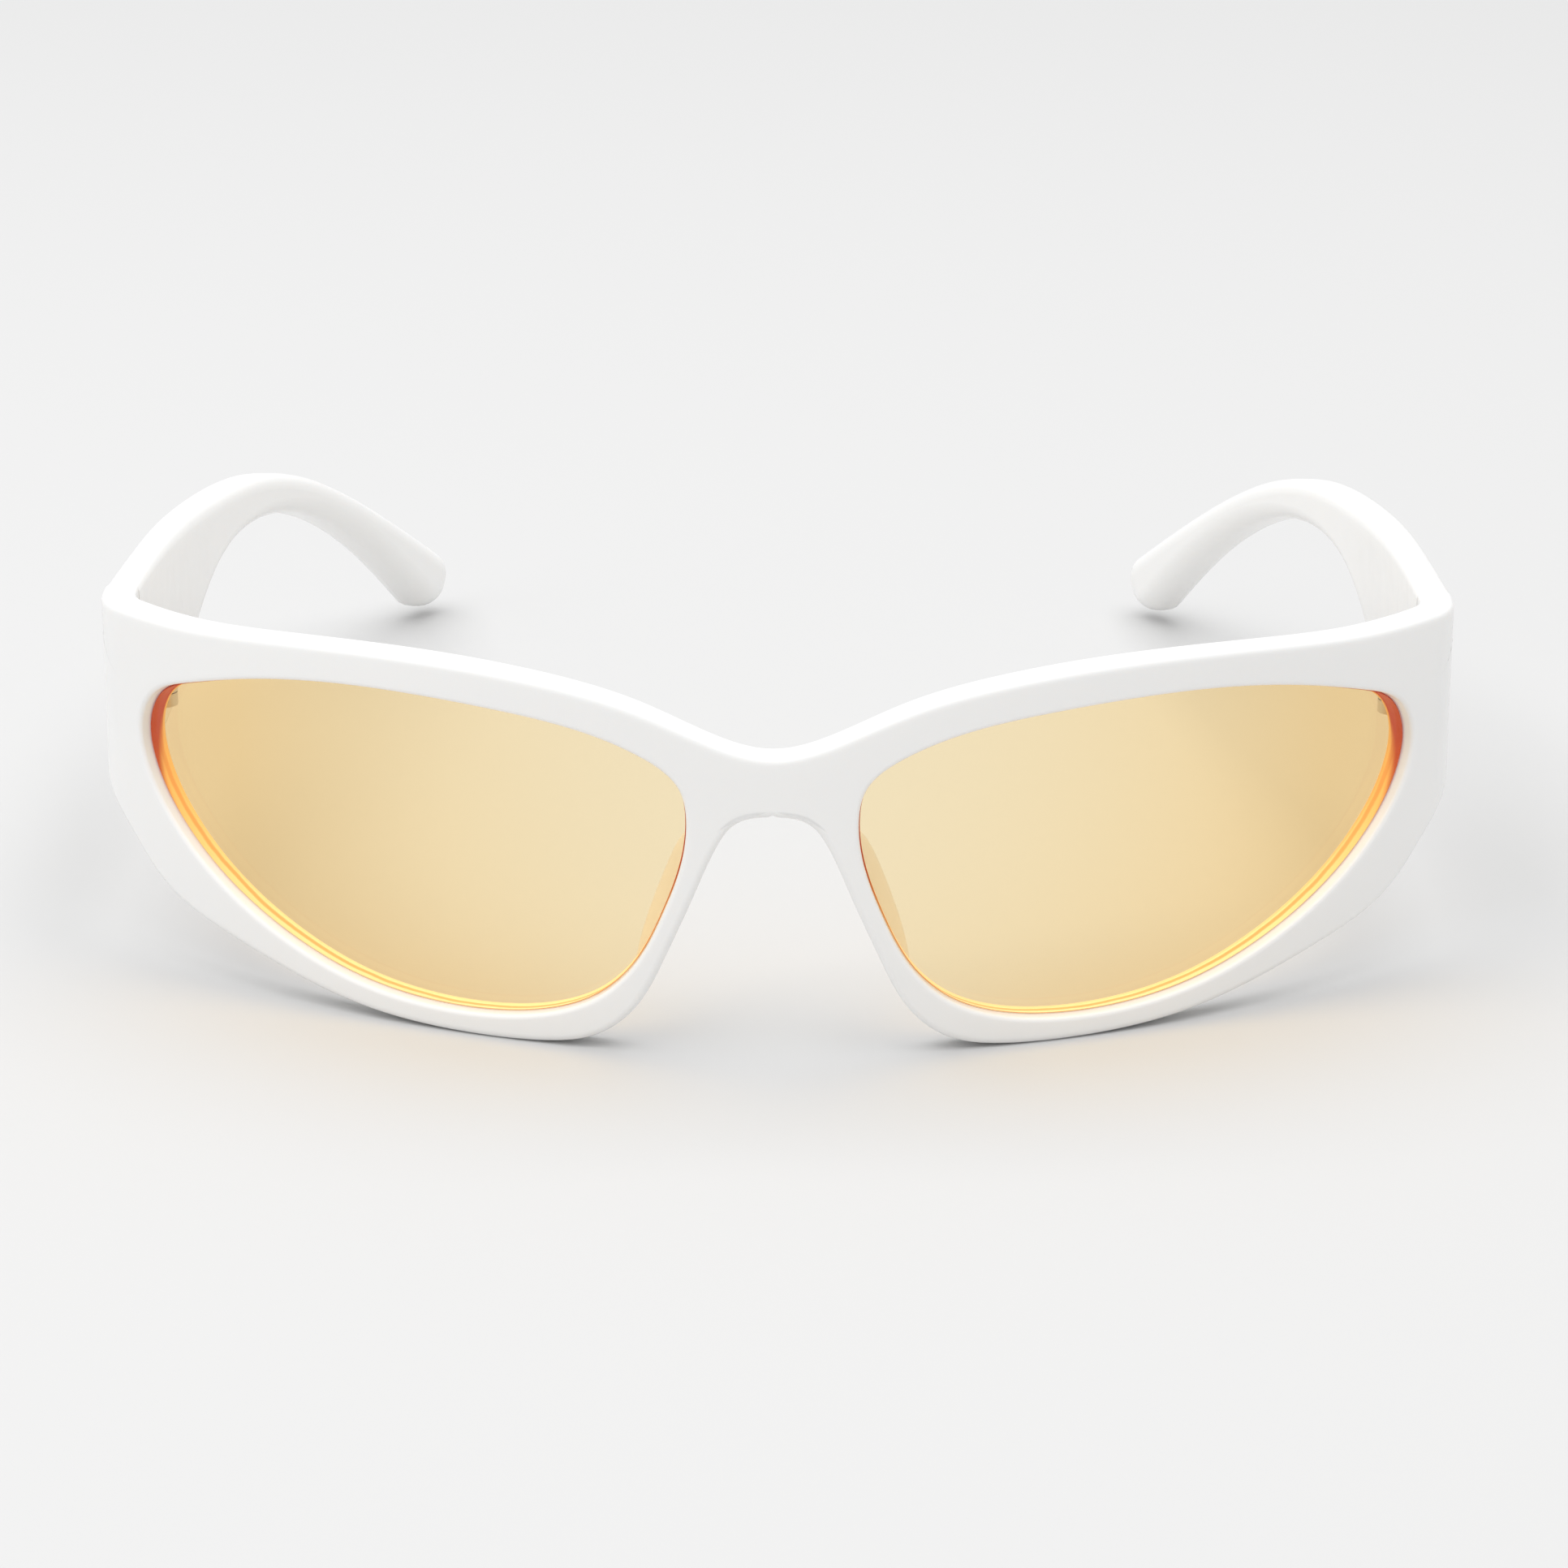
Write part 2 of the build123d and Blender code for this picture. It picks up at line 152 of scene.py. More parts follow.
def spline_slopes(knots, values):
    """Slopes at the knots of the natural cubic spline through some values."""
    count = len(knots)
    gaps = np.diff(knots)
    matrix = np.zeros((count, count))
    right = np.zeros((count, values.shape[1]))
    rises = np.diff(values, axis=0) / gaps[:, None]
    matrix[0, :2] = (2, 1)
    right[0] = 3 * rises[0]
    matrix[-1, -2:] = (1, 2)
    right[-1] = 3 * rises[-1]
    for i in range(1, count - 1):
        matrix[i, i - 1:i + 2] = (gaps[i], 2 * (gaps[i - 1] + gaps[i]), gaps[i - 1])
        right[i] = 3 * (gaps[i] * rises[i - 1] + gaps[i - 1] * rises[i])
    return np.linalg.solve(matrix, right)


def spline_at(knots, values, at):
    """The natural cubic spline through some values, at given places."""
    slopes = spline_slopes(knots, values)
    part = np.clip(np.searchsorted(knots, at, side="right") - 1, 0, len(knots) - 2)
    gap = (knots[part + 1] - knots[part])[:, None]
    t = ((at - knots[part])[:, None]) / gap
    start = (2 * t ** 3 - 3 * t ** 2 + 1) * values[part] + (t ** 3 - 2 * t ** 2 + t) * gap * slopes[part]
    end = (3 * t ** 2 - 2 * t ** 3) * values[part + 1] + (t ** 3 - t ** 2) * gap * slopes[part + 1]
    return start + end


class Outline:
    """A smooth line through a few points, sampled evenly along its length."""

    SAMPLES = 4000
    WRAP = 4

    def __init__(self, points, closed=False):
        values = np.array(points, float)
        if closed:
            values = np.vstack([values[-self.WRAP:], values, values[:self.WRAP + 1]])
        knots = np.concatenate([[0], np.cumsum(np.linalg.norm(np.diff(values, axis=0), axis=1))])
        first = knots[self.WRAP] if closed else 0
        last = knots[-self.WRAP - 1] if closed else knots[-1]
        fine = spline_at(knots, values, np.linspace(first, last, 2 * self.SAMPLES))
        along = np.concatenate([[0], np.cumsum(np.linalg.norm(np.diff(fine, axis=0), axis=1))])
        even = np.linspace(0, along[-1], self.SAMPLES + 1)
        self.line = np.stack([np.interp(even, along, fine[:, k]) for k in (0, 1)], axis=1)
        tangent = np.gradient(self.line, axis=0)
        self.tangent = tangent / np.linalg.norm(tangent, axis=1)[:, None]
        self.closed = closed

    def nearest(self, point):
        return int(np.argmin(np.linalg.norm(self.line - np.array(point), axis=1)))

    def stretch(self, start, end, count):
        """Even points and tangents from near one point to near another, without the last."""
        first = self.nearest(start)
        last = self.nearest(end)
        if self.closed and last <= first:
            last += self.SAMPLES
        places = np.rint(np.linspace(first, last, count, endpoint=False)).astype(int)
        if self.closed:
            places %= self.SAMPLES
        sign = 1 if last > first else -1
        return self.line[places], sign * self.tangent[places]


def mirrored(points):
    return [(-s, z) for s, z in reversed(points[1:])] + list(points)


def function_of(points):
    """A smooth function y -> value through a few points."""
    knots = np.array([p[0] for p in points], float)
    values = np.array([[p[1]] for p in points], float)
    return lambda at: float(spline_at(knots, values, np.array([min(max(at, knots[0]), knots[-1])]))[0, 0])


def right_of(direction):
    return np.stack([direction[:, 1], -direction[:, 0]], axis=1)


def quarter_round(reach, depth, steps):
    """(distance from the edge, depth) round a quarter ellipse, from the face to the wall."""
    turns = [math.pi / 2 * k / steps for k in range(steps + 1)]
    return [(reach * (1 - math.sin(turn)), depth * (1 - math.cos(turn))) for turn in turns]


# ---------------------------------------------------------------- placing

def metres(x, y, z):
    return Vector((x * MM, (y + BRIDGE_Y) * MM, z * MM))


def on_front(s, z, depth):
    """A point of the right half, from its place on the unrolled front and its depth behind the face."""
    if s < BASE_LENGTH:
        turn = s / BASE_RADIUS
        x = (BASE_RADIUS - depth) * math.sin(turn)
        y = BASE_RADIUS - (BASE_RADIUS - depth) * math.cos(turn)
    elif s < SIDE_START:
        turn = BASE_ANGLE + (s - BASE_LENGTH) / CORNER_RADIUS
        x = CORNER_X + (CORNER_RADIUS - depth) * math.sin(turn)
        y = CORNER_Y - (CORNER_RADIUS - depth) * math.cos(turn)
    else:
        x = HALF_WIDTH - depth
        y = CORNER_Y + s - SIDE_START
    return metres(x, y + LEAN * (BROW_HEIGHT - z), z)


def smooth_object(name, bm):
    bmesh.ops.recalc_face_normals(bm, faces=bm.faces)
    mesh = bpy.data.meshes.new(name)
    bm.to_mesh(mesh)
    bm.free()
    mesh.polygons.foreach_set("use_smooth", [True] * len(mesh.polygons))
    mesh.set_sharp_from_angle(angle=SHARP_ANGLE)
    piece = bpy.data.objects.new(name, mesh)
    bpy.context.scene.collection.objects.link(piece)
    return piece


def mirror_bmesh(bm):
    """Turn a right-hand mesh into its left-hand twin."""
    bmesh.ops.transform(bm, matrix=Matrix.Scale(-1, 4, Vector((1, 0, 0))), verts=bm.verts)


def strip(bm, first, second):
    """Faces between two rows of vertices; a missing vertex leaves its faces out."""
    for k in range(len(first) - 1):
        corners = (first[k], first[k + 1], second[k + 1], second[k])
        if all(corners):
            bm.faces.new(corners)


def cut_at(bm, y, keep):
    """Cut a mesh square across at y, keep one side of it and close it there."""
    result = bmesh.ops.bisect_plane(
        bm, geom=bm.verts[:] + bm.edges[:] + bm.faces[:], dist=CUT_TOLERANCE,
        plane_co=metres(0, y, 0), plane_no=(0, keep, 0), clear_inner=True)
    edges = [item for item in result["geom_cut"] if isinstance(item, bmesh.types.BMEdge)]
    bmesh.ops.edgeloop_fill(bm, edges=edges)


def add_block(bm, low, high, ease):
    """A block with eased edges, between two corners."""
    low = metres(*low)
    high = metres(*high)
    verts = bmesh.ops.create_cube(bm, size=1.0)["verts"]
    for vert in verts:
        vert.co = Vector(low[k] if vert.co[k] < 0 else high[k] for k in range(3))
    edges = {edge for vert in verts for edge in vert.link_edges}
    bmesh.ops.bevel(bm, geom=list(edges), offset=ease * MM, segments=BLOCK_ROUND_STEPS, profile=0.5,
                    affect="EDGES")


# ---------------------------------------------------------------- the front

# Where the unrolled front's outer edge and the lens opening's edge are joined by columns of faces:
# a point near the outer edge, a point near the opening, and the columns from there to the next
BRIDGE, BROW_SIDE, SEAM_SIDE, CHIN_SIDE = range(4)
STRETCHES = [
    (BRIDGE, (0, 26.4), (8.7, 24.7), 14),
    (BROW_SIDE, (0, 32.7), (9.3, 28.7), 34),
    (BROW_SIDE, (15, 37.7), (15.4, 33.9), 96),
    (BROW_SIDE, (64, 38.7), (63.0, 33.9), 56),
    (SEAM_SIDE, (SHEET_END, SEAM_TOP), (75.0, 28.3), 22),
    (CHIN_SIDE, (SHEET_END, SEAM_BOTTOM), (75.0, 23.2), 44),
    (CHIN_SIDE, (74.0, 10.7), (68.5, 14.3), 84),
    (CHIN_SIDE, (30, 0), (30, 2.5), 46),
    (CHIN_SIDE, (14.0, 4.9), (15.6, 7.3), 50),
]
FACE_ROWS = 14
ROUND_STEPS = 7
WALL_ROWS = 3


def front_columns():
    """Matching points on the outer edge and on the lens opening, with the way into the wall at both."""
    brow = Outline(mirrored(BROW))
    chin = Outline(mirrored(CHIN))
    opening = Outline(OPENING, closed=True)
    columns = []
    for number, (side, outer_start, hole_start, count) in enumerate(STRETCHES):
        _, outer_end, hole_end, _ = STRETCHES[(number + 1) % len(STRETCHES)]
        hole, hole_tangent = opening.stretch(hole_start, hole_end, count)
        into_rim = -right_of(hole_tangent)
        if side in (BROW_SIDE, CHIN_SIDE):
            outer, tangent = (brow if side == BROW_SIDE else chin).stretch(outer_start, outer_end, count)
            inwards = right_of(tangent)
        else:
            share = np.linspace(0, 1, count, endpoint=False)[:, None]
            outer = np.array(outer_start) * (1 - share) + np.array(outer_end) * share
            inwards = np.zeros((count, 2))
        if side == BRIDGE:
            first = outer_start[1] + RIM_FRONT_ROUND[0]
            last = outer_end[1] - RIM_FRONT_ROUND[0]
            outer[:, 1] = np.linspace(first, last, count, endpoint=False)
            inwards[0] = (0, 1)
            outer[0, 1] = outer_start[1]
        for k in range(count):
            columns.append((side == BRIDGE and k > 0, side, outer[k], inwards[k], hole[k], into_rim[k]))
    return columns


def edge_profile(front_round, back_round):
    """(distance from the edge, depth) from the front face round the wall to the back face."""
    front = quarter_round(*front_round, ROUND_STEPS)
    back = [(inset, WALL - depth) for inset, depth in reversed(quarter_round(*back_round, ROUND_STEPS))]
    top = front[-1][1]
    bottom = back[0][1]
    wall = [(0.0, top + (bottom - top) * k / WALL_ROWS) for k in range(1, WALL_ROWS)]
    return front + wall + back


def front_half():
    """The right half of the front as a closed ring of faces round the lens opening, open at the middle."""
    outer_profile = edge_profile(RIM_FRONT_ROUND, RIM_BACK_ROUND)
    hole_profile = edge_profile(OPENING_FRONT_ROUND, OPENING_BACK_ROUND)
    bm = bmesh.new()
    rows = []
    for in_bridge, side, outer, inwards, hole, into_rim in front_columns():
        seam_inset = np.array([0.0, 0.0]) if side == SEAM_SIDE else inwards
        row = [bm.verts.new(on_front(*(hole + into_rim * inset), depth))
               for inset, depth in reversed(hole_profile)]
        hole_front = hole + into_rim * hole_profile[0][0]
        hole_back = hole + into_rim * hole_profile[-1][0]
        outer_front = outer + seam_inset * outer_profile[0][0]
        for k in range(1, FACE_ROWS):
            share = k / FACE_ROWS
            row.append(bm.verts.new(on_front(*(hole_front * (1 - share) + outer_front * share), 0)))
        for number, (inset, depth) in enumerate(outer_profile):
            at_face = number in (0, len(outer_profile) - 1)
            if in_bridge and not at_face:
                row.append(None)
            else:
                row.append(bm.verts.new(on_front(*(outer + seam_inset * inset), depth)))
        for k in range(1, FACE_ROWS):
            share = k / FACE_ROWS
            row.append(bm.verts.new(on_front(*(outer_front * (1 - share) + hole_back * share), WALL)))
        row.append(row[0])
        rows.append(row)
    for k in range(len(rows)):
        strip(bm, rows[k], rows[(k + 1) % len(rows)])
    return bm


def add_nose_flange(bm):
    """The rounded flange behind the nose side of the rim, in rays from the middle of its root."""
    nose_side = function_of([(z, x) for x, z in reversed(NOSE_SIDE)])
    rounding = [math.pi / 2 * k / ROUND_STEPS for k in range(ROUND_STEPS + 1)]
    straight = FLANGE_REACH - FLANGE_ROUND
    ray = [(straight * k / FLANGE_ROWS, 0.0) for k in range(FLANGE_ROWS)]
    ray += [(straight + FLANGE_ROUND * math.sin(turn), FLANGE_ROUND * (1 - math.cos(turn)))
            for turn in rounding]
    ray += [(reach, FLANGE_THICKNESS - across) for reach, across in reversed(ray)]
    rows = []
    for k in range(FLANGE_RAYS + 1):
        turn = math.pi * (k / FLANGE_RAYS - 0.5)
        row = []
        for reach, across in ray:
            y = FLANGE_START_Y + reach * math.cos(turn)
            z = FLANGE_MIDDLE_Z + reach * math.sin(turn)
            x = nose_side(z) + across + FLANGE_SPREAD * (y - FLANGE_START_Y)
            row.append(bm.verts.new(metres(x, y, z)))
        rows.append(row)
    for first, second in zip(rows, rows[1:]):
        strip(bm, first, second)


def make_front():
    bm = front_half()
    cut_at(bm, SEAM_Y - SEAM_GAP / 2, -1)
    add_nose_flange(bm)
    add_block(bm, (SEAT_X, FRONT_SEAT_Y, SEAT_Z[0]),
              (SEAT_X + SEAT_DEPTH, SEAM_Y - SEAM_GAP, SEAT_Z[1]), SEAT_EASE)
    twin = bm.copy()
    mirror_bmesh(twin)
    mesh = bpy.data.meshes.new("front_twin")
    twin.to_mesh(mesh)
    twin.free()
    bm.from_mesh(mesh)
    bpy.data.meshes.remove(mesh)
    bmesh.ops.remove_doubles(bm, verts=bm.verts, dist=MERGE_DISTANCE)
    return smooth_object("front_moulding", bm)


# ---------------------------------------------------------------- the temples

TEMPLE_SECTIONS = 150
CAP_SECTIONS = 14
TIP_STRETCH = 1.25
SECTION_SIDE_STEPS = 10
SECTION_ROUND_STEPS = 6
# The most of a section's half width or height that a corner's rounding may take
FULLEST_ROUND = 0.98
# Below 1, the rounding grows fast near the root, and the rounded tip narrows later than it drops
ROUND_GROWTH = 0.7
TIP_NARROWING = 0.7


def rounded_section(half_width, half_height, radius):
    """Points round a rectangle with rounded corners."""
    radius = min(radius, half_width * FULLEST_ROUND, half_height * FULLEST_ROUND)
    points = []
    for corner, (sx, sz) in enumerate(((1, 1), (-1, 1), (-1, -1), (1, -1))):
        for k in range(SECTION_ROUND_STEPS + 1):
            turn = math.pi / 2 * (corner + k / SECTION_ROUND_STEPS)
            across = sx * (half_width - radius) + radius * math.cos(turn)
            up = sz * (half_height - radius) + radius * math.sin(turn)
            points.append((across, up))
        if corner in (1, 3):
            points += [(sx * half_width, sz * (half_height - radius) * (1 - 2 * k / SECTION_SIDE_STEPS))
                       for k in range(1, SECTION_SIDE_STEPS)]
    return points


def temple_section(bm, top, chin, outside, inside, radius, along=0, shrink=(1, 1)):
    """One ring of the temple; along and shrink place and scale the rings of the rounded tip."""
    middle = (top + chin) / 2
    up = (top - chin) / 2
    half_height = np.linalg.norm(up)
    up = up / half_height
    forwards = np.array([-up[1], up[0]]) * -1
    half_width = (outside(middle[0]) - inside(middle[0])) / 2
    ring = []
    for across, rise in rounded_section(half_width * shrink[0], half_height * shrink[1], radius):
        y, z = middle + up * rise + forwards * along
        centre_x = (outside(y) + inside(y)) / 2
        ring.append(bm.verts.new(metres(centre_x + across, y, z)))
    return ring


def make_temple(side):
    top = Outline(TEMPLE_TOP).line
    chin = Outline(TEMPLE_CHIN).line
    outside = function_of(TEMPLE_OUTSIDE)
    inside = function_of(TEMPLE_INSIDE)
    bm = bmesh.new()
    rings = []
    for k in range(TEMPLE_SECTIONS + 1):
        share = k / TEMPLE_SECTIONS
        place = round(share * Outline.SAMPLES)
        radius = TEMPLE_ROOT_ROUND + (TEMPLE_TIP_ROUND - TEMPLE_ROOT_ROUND) * share ** ROUND_GROWTH
        rings.append(temple_section(bm, top[place], chin[place], outside, inside, radius))
    reach = TIP_STRETCH * np.linalg.norm(top[-1] - chin[-1]) / 2
    for k in range(1, CAP_SECTIONS):
        turn = math.pi / 2 * k / CAP_SECTIONS
        shrink = math.cos(turn)
        rings.append(temple_section(bm, top[-1], chin[-1], outside, inside, TEMPLE_TIP_ROUND,
                                    reach * math.sin(turn), (shrink ** TIP_NARROWING, shrink)))
    for first, second in zip(rings, rings[1:]):
        strip(bm, first + first[:1], second + second[:1])
    bm.faces.new(rings[-1])
    cut_at(bm, SEAM_Y + SEAM_GAP / 2, 1)
    add_block(bm, (SEAT_X, SEAM_Y + SEAM_GAP, SEAT_Z[0]),
              (SEAT_X + SEAT_DEPTH, TEMPLE_SEAT_Y, SEAT_Z[1]), SEAT_EASE)
    if side < 0:
        mirror_bmesh(bm)
    return bm


# ---------------------------------------------------------------- the lenses

LENS_COLUMNS = 260
LENS_RINGS = 36
LENS_WALL_RINGS = 2


def make_lens(side):
    opening = Outline(OPENING, closed=True)
    edge, tangent = opening.stretch(OPENING[0], OPENING[0], LENS_COLUMNS)
    inwards = right_of(tangent)
    edge = edge + inwards * LENS_GAP
    centre = edge.mean(axis=0)
    back_depth = LENS_RECESS + LENS_THICKNESS
    bm = bmesh.new()

    def ring(points, depth):
        return [bm.verts.new(on_front(*point, depth)) for point in points]

    def face_rings(depth):
        inset = edge + inwards * LENS_CHAMFER
        shares = [math.sin(math.pi / 2 * k / LENS_RINGS) for k in range(1, LENS_RINGS + 1)]
        return [ring(centre + (inset - centre) * share, depth) for share in shares]

    front = face_rings(LENS_RECESS)
    back = face_rings(back_depth)
    wall_depths = np.linspace(LENS_RECESS + LENS_CHAMFER, back_depth - LENS_CHAMFER, LENS_WALL_RINGS)
    order = front + [ring(edge, depth) for depth in wall_depths] + back[::-1]
    across = bm.loops.layers.uv.new("across_edge")
    for number, (first, second) in enumerate(zip(order, order[1:])):
        before = len(bm.faces)
        strip(bm, first + first[:1], second + second[:1])
        bm.faces.ensure_lookup_table()
        step = number - len(front) + 1
        if 0 <= step <= LENS_WALL_RINGS:
            for face in bm.faces[before:]:
                face.material_index = 1
                for loop in face.loops:
                    near_back = loop.vert in second
                    loop[across].uv = (0.5, (step + near_back) / (LENS_WALL_RINGS + 1))
    for rings, depth in ((front, LENS_RECESS), (back, back_depth)):
        hub = bm.verts.new(on_front(*centre, depth))
        for k in range(LENS_COLUMNS):
            bm.faces.new((rings[0][k], rings[0][(k + 1) % LENS_COLUMNS], hub))
    if side < 0:
        mirror_bmesh(bm)
    return bm


# ---------------------------------------------------------------- materials

NOISE_DETAIL = 3.0

# Colours: the lower and higher tone of the plastic and the floor, the lens's tint seen straight and
# at a slant, and the lens edge's painted light tones (a painted glow) low on the rim and high on it
WHITE_TONES = ((0.868, 0.866, 0.858, 1), (0.882, 0.880, 0.871, 1))
FLOOR_TONES = ((0.615, 0.615, 0.615, 1), (0.625, 0.625, 0.624, 1))
LENS_TINTS = ((1.0, 0.932, 0.77, 1), (0.99, 0.85, 0.6, 1))
# Painted light: the lens edge's glow, pale where lit from above and deep red where light runs long through
# the tint
EDGE_PAINTED_LIT_TONES = ((1.0, 0.86, 0.56, 1), (0.93, 0.60, 0.20, 1))
EDGE_PAINTED_RED_TONES = ((0.72, 0.22, 0.05, 1), (0.50, 0.06, 0.015, 1))
EDGE_LINE_TONE = (0.80, 0.36, 0.08, 1)
NICKEL_SILVER = (0.70, 0.69, 0.66, 1)
TURNED_STEEL = (0.62, 0.62, 0.63, 1)


class Nodes:
    """Short names for building a material's nodes."""

    def __init__(self, name):
        self.material = bpy.data.materials.new(name)
        self.material.use_nodes = True
        self.tree = self.material.node_tree
        self.tree.nodes.clear()
        self.output = self.tree.nodes.new("ShaderNodeOutputMaterial")

    def plug(self, node, key, value):
        """Link a socket, or set a value, on the visible input of that name."""
        named = [socket for socket in node.inputs if socket.name == key and socket.enabled]
        socket = named[0] if named else node.inputs[key]
        if isinstance(value, bpy.types.NodeSocket):
            self.tree.links.new(value, socket)
        else:
            socket.default_value = value

    def add(self, kind, inputs=None, **settings):
        node = self.tree.nodes.new(kind)
        for key, value in settings.items():
            setattr(node, key, value)
        for key, value in (inputs or {}).items():
            self.plug(node, key, value)
        return node

    def finish(self, shader):
        self.tree.links.new(shader, self.output.inputs["Surface"])
        return self.material


def noise(n, scale):
    place = n.add("ShaderNodeTexCoord").outputs["Object"]
    return n.add("ShaderNodeTexNoise", {"Vector": place, "Scale": scale,
                                        "Detail": NOISE_DETAIL}).outputs["Fac"]


def ramp(n, value, low, high):
    """A value from low to high as a texture goes from 0.3 to 0.7."""
    return n.add("ShaderNodeMapRange", {"Value": value, "From Min": 0.3, "From Max": 0.7,
                                        "To Min": low, "To Max": high}).outputs["Result"]


def white_plastic():
    """Glossy injection-moulded plastic: faint flow ripples in the gloss, and a little light inside."""
    n = Nodes("white_plastic")
    ripple = noise(n, 90.0)
    tone = mixed(n, noise(n, 60.0), *WHITE_TONES)
    bump = n.add("ShaderNodeBump", {"Height": ripple, "Strength": 0.015, "Distance": 0.0004})
    shader = n.add("ShaderNodeBsdfPrincipled", {
        "Base Color": tone, "Roughness": ramp(n, noise(n, 240.0), 0.22, 0.25),
        "IOR": 1.49, "Normal": bump.outputs["Normal"], "Subsurface Weight": 0.12,
        "Subsurface Scale": 0.002})
    shader.inputs["Subsurface Radius"].default_value = (1.0, 0.9, 0.8)
    return n.finish(shader.outputs["BSDF"])


def between(n, value, low, high, at_low=0.0, at_high=1.0):
    """at_low where a value is low, at_high where it's high, and smoothly between."""
    return n.add("ShaderNodeMapRange", {"Value": value, "From Min": low, "From Max": high, "To Min": at_low,
                                        "To Max": at_high}, interpolation_type="SMOOTHSTEP").outputs["Result"]


def mixed(n, factor, first, second):
    node = n.add("ShaderNodeMix", data_type="RGBA")
    for key, value in (("Factor", factor), ("A", first), ("B", second)):
        n.plug(node, key, value)
    return node.outputs["Result"]


def amber_lens():
    """Tinted clear polycarbonate: it passes a warm light, deeper at a slant, and mirrors a little."""
    n = Nodes("amber_lens")
    slant = n.add("ShaderNodeLayerWeight", {"Blend": 0.5}).outputs["Facing"]
    depth = n.add("ShaderNodeMapRange", {
        "Value": slant, "From Min": 0.05, "From Max": 0.35}).outputs["Result"]
    tint = mixed(n, depth, *LENS_TINTS)
    clear = n.add("ShaderNodeBsdfTransparent", {"Color": tint})
    polish = ramp(n, noise(n, 40.0), 0.02, 0.05)
    mirror = n.add("ShaderNodeBsdfGlossy", {"Color": (1, 1, 1, 1), "Roughness": polish})
    rise = n.add("ShaderNodeMath", {0: slant, 1: 5.0}, operation="POWER").outputs["Value"]
    glint = n.add("ShaderNodeMapRange", {"Value": rise, "To Min": 0.03, "To Max": 0.9}).outputs["Result"]
    shader = n.add("ShaderNodeMixShader", {0: glint, 1: clear.outputs["BSDF"], 2: mirror.outputs["BSDF"]})
    return n.finish(shader.outputs["Shader"])


def painted_glow_lens_edge():
    """The lens's edge, with painted light: a painted glow, deep red where it meets the front face, fading to
    yellow towards the back.

    Light runs a long way through the tint to the high outer corner, so the painted red band is widest there;
    along the low edge, lit from above, it's a fine line beside painted pale yellow. The edge also emits a
    little of its own colour as a painted glow, though it is no lamp.
    """
    n = Nodes("painted_glow_lens_edge")
    place = n.add("ShaderNodeSeparateXYZ", {"Vector": n.add("ShaderNodeTexCoord").outputs["Object"]})
    height = place.outputs["Z"]
    across = n.add("ShaderNodeSeparateXYZ", {
        "Vector": n.add("ShaderNodeUVMap", uv_map="across_edge").outputs["UV"]}).outputs["Y"]
    wander = n.add("ShaderNodeMath", {0: noise(n, 220.0), 1: 0.12}, operation="MULTIPLY").outputs["Value"]
    edge = n.add("ShaderNodeMath", {0: across, 1: wander}, operation="ADD").outputs["Value"]
    # Painted light: the red band reaches further across the edge higher up the rim, where piped light runs
    # long through the tint
    band = between(n, height, 0.014, 0.031, 0.22, 0.85)
    past = n.add("ShaderNodeMath", {0: edge, 1: band}, operation="SUBTRACT").outputs["Value"]
    fade = between(n, past, -0.08, 0.16)
    # Painted light: paler yellow low on the rim, where the edge is lit from above
    pale = mixed(n, between(n, height, 0.006, 0.022), *EDGE_PAINTED_LIT_TONES)
    second = n.add("ShaderNodeMath", {0: edge, 1: 0.62}, operation="SUBTRACT").outputs["Value"]
    second = n.add("ShaderNodeMath", {0: second}, operation="ABSOLUTE").outputs["Value"]
    line = between(n, second, 0.03, 0.09, 0.75, 0.0)
    body = mixed(n, line, pale, EDGE_LINE_TONE)
    deep = mixed(n, between(n, height, 0.010, 0.026), *EDGE_PAINTED_RED_TONES)
    colour = mixed(n, fade, deep, body)
    # Painted glow: the edge emits a little of its own colour, though it is no lamp
    shader = n.add("ShaderNodeBsdfPrincipled", {
        "Base Color": colour, "Roughness": ramp(n, noise(n, 300.0), 0.3, 0.45),
        "Emission Color": colour, "Emission Strength": 0.22})
    return n.finish(shader.outputs["BSDF"])


def metal(name, colour, grain, rough):
    """Tumbled or turned metal, with fine grain in its gloss and its surface."""
    n = Nodes(name)
    bump = n.add("ShaderNodeBump", {"Height": noise(n, grain), "Strength": 0.15, "Distance": 0.00005})
    shader = n.add("ShaderNodeBsdfPrincipled", {
        "Base Color": colour, "Metallic": 1.0, "Roughness": ramp(n, noise(n, grain / 3), rough, rough + 0.15),
        "Normal": bump.outputs["Normal"]})
    return n.finish(shader.outputs["BSDF"])


def matt_floor():
    n = Nodes("studio_floor")
    tone = mixed(n, noise(n, 3.0), *FLOOR_TONES)
    shader = n.add("ShaderNodeBsdfDiffuse", {"Color": tone})
    return n.finish(shader.outputs["BSDF"])


# ---------------------------------------------------------------- stage

# The camera: its place in metres from the front of the bridge, and its turns in degrees
CAMERA_PLACE = (0.0077, -0.6136, 0.2452)
CAMERA_TURN = 0.61
CAMERA_DIP = 19.3
CAMERA_ROLL = 0.14
SENSOR_WIDTH = 36
FOCAL_LENGTH = 150
WORLD_STRENGTH = 0.75


def add_camera():
    """A long lens, looking down at the front from straight ahead."""
    data = bpy.data.cameras.new("camera")
    data.sensor_width = SENSOR_WIDTH
    data.lens = FOCAL_LENGTH
    camera = bpy.data.objects.new("camera", data)
    x, y, z = CAMERA_PLACE
    camera.location = (x, y + BRIDGE_Y * MM, z)
    turn = Matrix.Rotation(math.radians(CAMERA_TURN), 4, "Z")
    dip = Matrix.Rotation(math.radians(90 - CAMERA_DIP), 4, "X")
    roll = Matrix.Rotation(math.radians(CAMERA_ROLL), 4, "Z")
    camera.rotation_euler = (turn @ dip @ roll).to_euler()
    bpy.context.scene.collection.objects.link(camera)
    bpy.context.scene.camera = camera


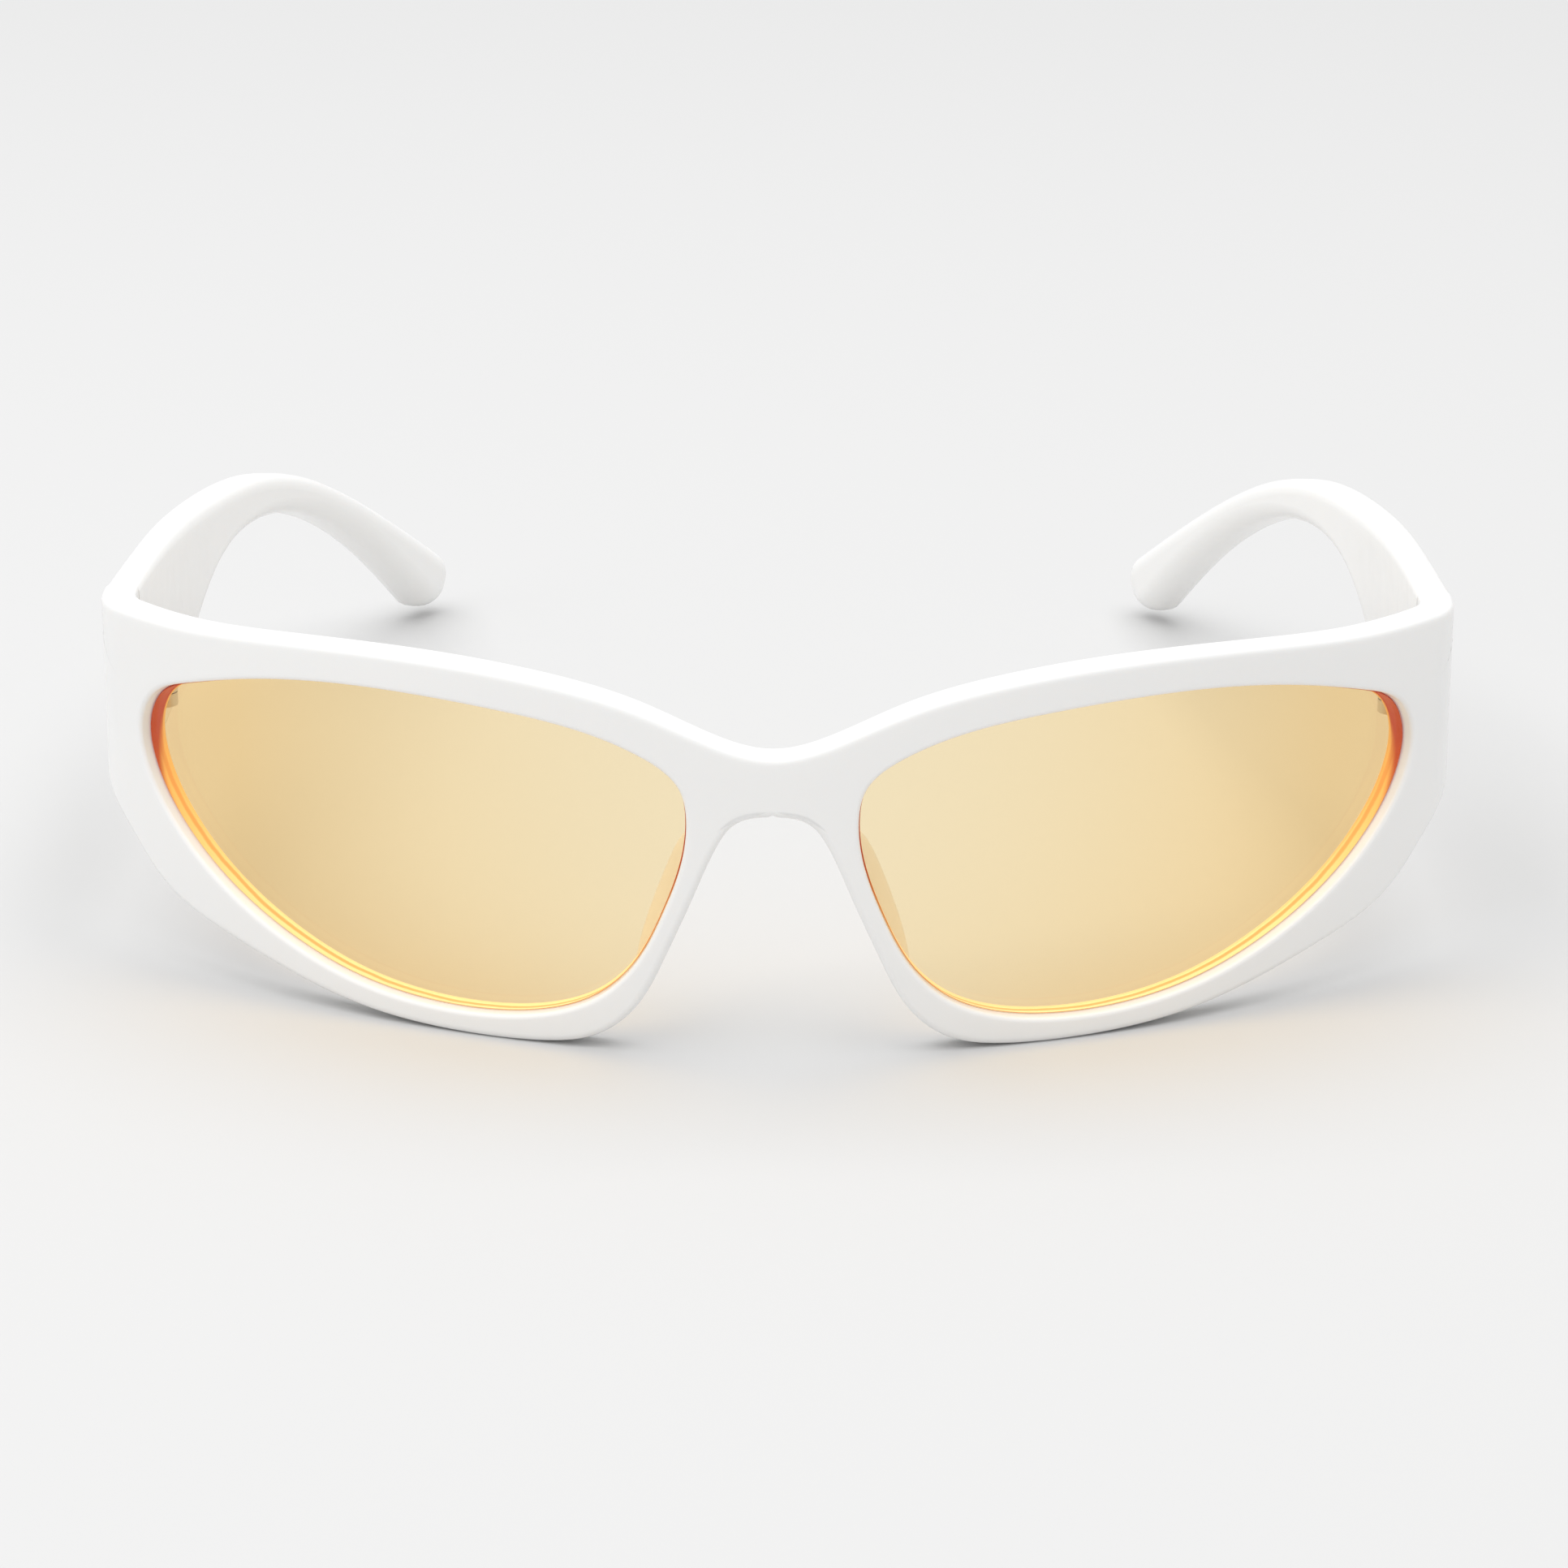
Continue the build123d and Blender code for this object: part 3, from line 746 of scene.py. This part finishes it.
def add_area(name, place, aim, size, power, colour=(1, 1, 1)):
    data = bpy.data.lights.new(name, "AREA")
    data.shape = "RECTANGLE"
    data.size, data.size_y = size
    data.energy = power
    data.color = colour
    lamp = bpy.data.objects.new(name, data)
    lamp.location = place
    lamp.rotation_euler = (Vector(aim) - Vector(place)).to_track_quat("-Z", "Y").to_euler()
    bpy.context.scene.collection.objects.link(lamp)


def add_stage():
    bm = bmesh.new()
    bmesh.ops.create_grid(bm, x_segments=24, y_segments=24, size=3.0)
    floor = smooth_object("studio_floor", bm)
    floor.data.materials.append(matt_floor())
    add_area("overhead", (-0.1, -0.02, 0.95), (0, 0, 0), (1.5, 1.4), 10.6)
    add_area("left_fill", (-0.9, -0.7, 0.45), (0, 0, 0.02), (0.7, 0.7), 1.0)
    world = bpy.data.worlds.new("studio")
    world.use_nodes = True
    world.node_tree.nodes["Background"].inputs["Color"].default_value = (1, 1, 1, 1)
    world.node_tree.nodes["Background"].inputs["Strength"].default_value = WORLD_STRENGTH
    bpy.context.scene.world = world
    bpy.context.scene.view_settings.view_transform = "Standard"


# ---------------------------------------------------------------- putting it together

def finish_piece(piece, body, materials):
    for material in materials:
        piece.data.materials.append(material)
    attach(piece, body)
    return piece


def build():
    add_camera()
    add_stage()
    plastic = white_plastic()
    # The lens, and its edge with painted glow and painted light bands
    lens_materials = [amber_lens(), painted_glow_lens_edge()]
    leaf_metal = metal("nickel_silver", NICKEL_SILVER, 900.0, 0.25)
    screw_metal = metal("turned_steel", TURNED_STEEL, 1600.0, 0.2)
    front = finish_piece(make_front(), "front", [plastic])
    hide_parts("front_frame")
    for side, sign in SIDES.items():
        lens = smooth_object(f"{side}_tinted_lens", make_lens(sign))
        finish_piece(lens, "front", lens_materials)
        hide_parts(f"{side}_lens")
        temple = smooth_object(f"{side}_temple_moulding", make_temple(sign))
        finish_piece(temple, f"{side}_temple", [plastic])
        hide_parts(f"{side}_temple")
    for name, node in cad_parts.items():
        if "hinge_leaf" in name:
            node.data.materials.clear()
            node.data.materials.append(leaf_metal)
        elif "screw" in name:
            node.data.materials.clear()
            node.data.materials.append(screw_metal)


build()
